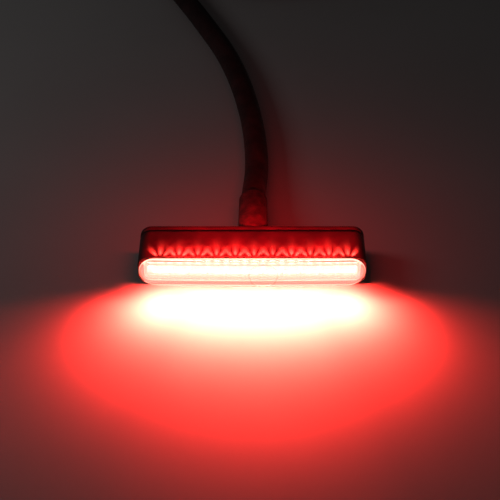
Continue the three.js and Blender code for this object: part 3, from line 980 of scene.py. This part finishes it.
# %% Boot and lead
def make_boot():
    start, end = REAR + 0.02, extent("cable_boot", "y")[1]
    profile = [
        (3.55, start), (4.22, start), (4.3, start + 0.12), (4.3, start + 3), (4.05, end - 0.35),
        (3.97, end - 0.1), (3.82, end), (3.55, end),
    ]
    boot = as_object("lead_boot", turned(profile, CABLE_X, MID_Z, 64, closed=True))
    return finish(boot, [rubber_finish], "cable_boot")


boot = make_boot()
lead = tube("sheathed_lead", route, CABLE_DIAMETER, sheath_finish)
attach(lead, "root")
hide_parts("cable", "cable_coil", "cable_tail")
print("lead follows", len(route), "points")


# %% [markdown]
# ## The ties
#
# Two straps of hook-and-loop tape hold the coil. A strap pulled tight round two turns is a flat loop
# with half-round ends, and its free end lies back over the top. Its weave follows the strap, so the
# finish turns its pattern to the strap's own angle.

# %% Ties
TIE_ANGLE = math.radians(80)


def woven_strap():
    material = plain("woven_strap", (0.03, 0.03, 0.032), 0.75, Sheen_Weight=0.3, Sheen_Roughness=0.5)
    warp = wave(material, 0.45, TIE_ANGLE, "X")
    weft = wave(material, 0.45, TIE_ANGLE, "Y")
    cloth = product(material, warp, weft)
    vary_color(material, cloth, (0.015, 0.015, 0.016), (0.06, 0.06, 0.063), low=0.05, high=0.7)
    relief(material, cloth, 0.08)
    return material


strap_finish = woven_strap()


def make_tie(node, angle):
    half_width, thickness, slack = 2.5, 0.5, 0.15
    cable_radius = CABLE_DIAMETER / 2
    inner_side, outer_side = INNER_TURN - cable_radius, OUTER_TURN + cable_radius
    grown = slack + thickness
    low = mm(inner_side - grown, -half_width, COIL_Z - cable_radius - grown)
    high = mm(outer_side + grown, half_width, COIL_Z + cable_radius + grown)
    loop = bar(low, high, 4.1 * MM, 10)
    bevel(loop, rim(loop, -half_width) + rim(loop, half_width), 0.15 * MM, 2)
    strap = as_object(node + "_strap", loop)
    opening_low = Vector((low.x, 2 * low.y, low.z)) + mm(thickness, 0, thickness)
    opening_high = Vector((high.x, 2 * high.y, high.z)) - mm(thickness, 0, thickness)
    cut(strap, bar(opening_low, opening_high, 3.6 * MM, 10))
    end_low = mm(inner_side + 3.5, -half_width, high.z / MM - 0.02)
    end_high = mm(outer_side - 3, half_width, high.z / MM - 0.02 + thickness)
    join(strap, soft_block(end_low, end_high, 0.15))
    place = Matrix.Translation(Vector((*COIL_CENTRE, 0)) * MM) @ Matrix.Rotation(angle, 4, "Z")
    strap.data.transform(place)
    return finish(strap, [strap_finish], node)


ties = [make_tie("coil_tie_1", TIE_ANGLE), make_tie("coil_tie_2", TIE_ANGLE - math.pi)]


# %% [markdown]
# ## The connector
#
# The far end is a sealed two-way connector: a ribbed rubber boot, a round shell of glass-filled nylon
# with grip rings and a latch, an insert with two holes and a brass sleeve in each hole. All of it is
# turned, because every part is round about the connector's own line.

# %% Connector
def nylon():
    material = plain("filled_nylon", (0.02, 0.02, 0.022), 0.5)
    flow = noise(material, 1.5, stretch=(1, 0.25, 1))
    vary_color(material, flow, (0.014, 0.014, 0.015), (0.028, 0.028, 0.03))
    vary_gloss(material, noise(material, 0.8), 0.42, 0.6)
    relief(material, noise(material, 0.15, detail=3), 0.015, 0.6)
    return material


nylon_finish = nylon()
CONNECTOR_X = middle_x("connector_shell")
CONTACT_SPACING = 3.8


def connector_turned(name, profile, segments, x=CONNECTOR_X, closed=False):
    return as_object(name, turned(profile, x, CONNECTOR_Z, segments, closed))


def make_connector_boot():
    start, end = extent("connector_boot", "y")
    start -= 0.2
    profile = [(3.55, start), (5.1, start), (5.2, start + 0.15), (5.2, start + 1.6)]
    for i in range(4):
        y = start + 2.1 + i * 1.55
        radius = 4.95 - i * 0.2
        profile += [(radius - 0.45, y), (radius - 0.4, y + 0.35)]
        profile += [(radius, y + 0.55), (radius - 0.03, y + 1.15)]
    profile += [(4.1, end - 0.1), (4.0, end), (3.55, end)]
    boot = connector_turned("connector_sleeve", profile, 56, closed=True)
    return finish(boot, [rubber_finish], "connector_boot")


def make_shell():
    front, back = extent("connector_shell", "y")
    floor = back - 1.8
    profile = [(0, floor), (4.6, floor), (4.6, front + 0.3), (4.75, front)]
    profile += [(5.3, front), (5.5, front + 0.2)]
    for i in range(4):
        y = front + 10.6 + i * 1.25
        profile += [(5.5, y), (5.2, y + 0.15), (5.2, y + 0.6), (5.5, y + 0.75)]
    profile += [(5.5, back - 0.25), (5.3, back), (0, back)]
    shell = connector_turned("connector_body", profile, 64)
    latch = block(mm(-1.6, front + 3.5, 10.4), mm(1.6, front + 8.5, 11.6))
    bmesh.ops.translate(latch, vec=mm(CONNECTOR_X, 0, 0), verts=latch.verts)
    raised = edges_where(latch, lambda a, b: max(a.z, b.z) > 11.5 * MM)
    bevel(latch, raised, 0.35 * MM, 4)
    join(shell, latch)
    return finish(shell, [nylon_finish], "connector_shell")


def contact_x(side):
    return CONNECTOR_X + side * CONTACT_SPACING / 2


def make_insert():
    front, back = extent("connector_insert", "y")
    profile = [(0, front), (4.15, front), (4.3, front + 0.15), (4.3, back), (0, back)]
    insert = connector_turned("contact_holder", profile, 56)
    hole = [
        (0, front - 1), (1.3, front - 1), (1.3, front), (1.1, front + 0.2), (1.1, back - 1.7),
        (0, back - 1.7),
    ]
    for side in (-1, 1):
        cut(insert, turned(hole, contact_x(side), CONNECTOR_Z, 32))
    return finish(insert, [nylon_finish], "connector_insert")


def make_contact(node, side):
    front, back = extent(node, "y")
    lip = front + 0.1
    profile = [(0.5, lip), (0.58, front), (0.74, front), (0.8, lip), (0.8, back), (0.5, back)]
    contact = connector_turned(node + "_sleeve", profile, 32, contact_x(side), closed=True)
    return finish(contact, [brass_finish], node)


connector = [
    make_connector_boot(), make_shell(), make_insert(),
    make_contact("contact_supply", -1), make_contact("contact_ground", 1),
]


# %% [markdown]
# ## Floor and light
#
# The lamp lies on a plain pale surface in a dark studio, so that its own light shows: a faint even sky
# and one small soft light from the left. The plain view transform lets the brightest places go white,
# as they do when something glows, and a gamma of 0.8 deepens the shadows beside them.

# %% Floor
def make_floor():
    bm = bmesh.new()
    bmesh.ops.create_grid(bm, x_segments=1, y_segments=1, size=3)
    floor = as_object("floor", bm)
    material = plain("pale_paper", (0.8, 0.78, 0.77), 0.8)
    vary_color(material, noise(material, 60), (0.78, 0.76, 0.75), (0.82, 0.8, 0.79))
    relief(material, noise(material, 0.8, detail=3), 0.01, 0.3)
    floor.data.materials.append(material)
    return floor


floor = make_floor()
print("floor faces:", len(floor.data.polygons))


# %% Lights
SKY_STRENGTH = 0.019
SHADOW_GAMMA = 0.8


def area_light(name, place, target, width, height, watts, color=(1, 1, 1), spread=180):
    """A soft rectangle of light at a place, facing a target, with its spread in degrees."""
    data = bpy.data.lights.new(name, "AREA")
    data.shape = "RECTANGLE"
    data.size = width
    data.size_y = height
    data.energy = watts
    data.color = color
    data.spread = math.radians(spread)
    light = bpy.data.objects.new(name, data)
    light.location = place
    light.rotation_euler = (Vector(target) - Vector(place)).to_track_quat("-Z", "Y").to_euler()
    light.visible_camera = False
    bpy.context.scene.collection.objects.link(light)
    return light


world = bpy.data.worlds.new("studio")
bpy.context.scene.world = world
world.use_nodes = True
world.node_tree.nodes["Background"].inputs["Color"].default_value = (1, 1, 1, 1)
world.node_tree.nodes["Background"].inputs["Strength"].default_value = SKY_STRENGTH
lamp_middle = (0, 0.03, 0)
area_light("key", (-0.30, 0.06, 0.2), lamp_middle, 0.12, 0.12, 0.07)
bpy.context.scene.view_settings.view_transform = "Standard"
bpy.context.scene.view_settings.gamma = SHADOW_GAMMA
print("sky", SKY_STRENGTH, "and one studio light")

# %% [markdown]
# ## The beams of the lit lamp
#
# The LEDs throw a hot patch on the surface just in front of the lamp, a wide fan beyond it and a little
# light out to each side. Light that has to find its way out through clear plastic is slow to trace and
# leaves bright specks. So the lens is told not to cast a shadow, and four soft red strips in front of it
# stand in for the beams, each turned, tilted and narrowed to its own part of the pool. A fifth, above
# the lamp, gives the faint red that spills round it. No strip is seen by the camera.

# %% Beams
BEAM_Y = -8.2
BEAM_HEIGHT = 4
ROW_MIDDLE = 0.5
SPILL_COLOR = (1.0, 0.004, 0.012)


def beam(name, x, z, width, turn, tilt, spread, watts):
    """A strip at x and z, in millimetres, turned to the right and tilted down, in degrees."""
    place = mm(x, BEAM_Y, z)
    aim = Matrix.Rotation(math.radians(turn), 3, "Z") @ Matrix.Rotation(math.radians(tilt), 3, "X")
    target = place + aim @ mm(0, -1, 0)
    area_light(name, place, target, width * MM, BEAM_HEIGHT * MM, watts, LED_COLOR, spread)


beam("beam_wide", ROW_MIDDLE, 8, width=80, turn=0, tilt=18, spread=113, watts=0.028)
beam("beam_hot", ROW_MIDDLE, 18.5, width=50, turn=0, tilt=61, spread=101, watts=0.138)
beam("beam_left", -18.5, 7, width=6, turn=-50, tilt=21, spread=73, watts=0.011)
beam("beam_right", 19.5, 7, width=6, turn=50, tilt=21, spread=73, watts=0.011)
spill_place = mm(ROW_MIDDLE, 8, 48)
area_light("spill", spill_place, mm(ROW_MIDDLE, 8, 0), 0.05, 0.01, 0.0077, SPILL_COLOR)
lens.visible_shadow = False
print("beams in front of the lens:", sum(item.name.startswith("beam") for item in bpy.data.lights))

# %% [markdown]
# ## The glow on the black parts
#
# An eye or a lens that looks at a lamp this bright sees everything near it glow: the black casing looks
# dark red, and short rays fan out from each LED. Haze round the lamp could do that, but it would also
# veil the surface. Light linking does it simply: these lights fall on the black parts alone. They
# aren't reflected either, so the casing keeps its true gloss from behind. Three narrow rays start above
# the lens at each LED and graze the casing's top. A weak white light from behind is for the lead's edge.

# %% Glow
FLARE_COLOR = (1.0, 0.06, 0.04)
FLARE_START = Vector((-7, 11))
FLARE_REACH = 6
FLARE_DROP = 1.9
black_parts = bpy.data.collections.new("black_parts")
for name in ("housing_shell", "rear_cover_plate", "lead_boot", "sheathed_lead"):
    black_parts.objects.link(bpy.data.objects[name])


def glow(name, place, target, width, height, watts, color, spread=180):
    """A light that falls on the black parts alone and isn't reflected in them."""
    light = area_light(name, place, target, width, height, watts, color, spread)
    light.light_linking.receiver_collection = black_parts
    light.visible_glossy = False


glow("glow_near", mm(ROW_MIDDLE, -7, 19), mm(ROW_MIDDLE, 4, 9.9), 0.052, 0.003, 0.2, SPILL_COLOR)
glow("glow_far", mm(ROW_MIDDLE, -5, 50), mm(ROW_MIDDLE, 40, 5), 0.04, 0.01, 0.025, SPILL_COLOR)
for node in LED_NODES:
    start = mm(middle_x(node), *FLARE_START)
    for turn in (-32, 0, 32):
        ray = Matrix.Rotation(math.radians(-turn), 3, "Z") @ mm(0, FLARE_REACH, -FLARE_DROP)
        glow(node + "_flare", start, start + ray, 0.0004, 0.0004, 0.0021, FLARE_COLOR, spread=26)
glow("edge", (-0.12, 0.45, 0.1), lamp_middle, 0.15, 0.15, 0.02, (1, 1, 1))
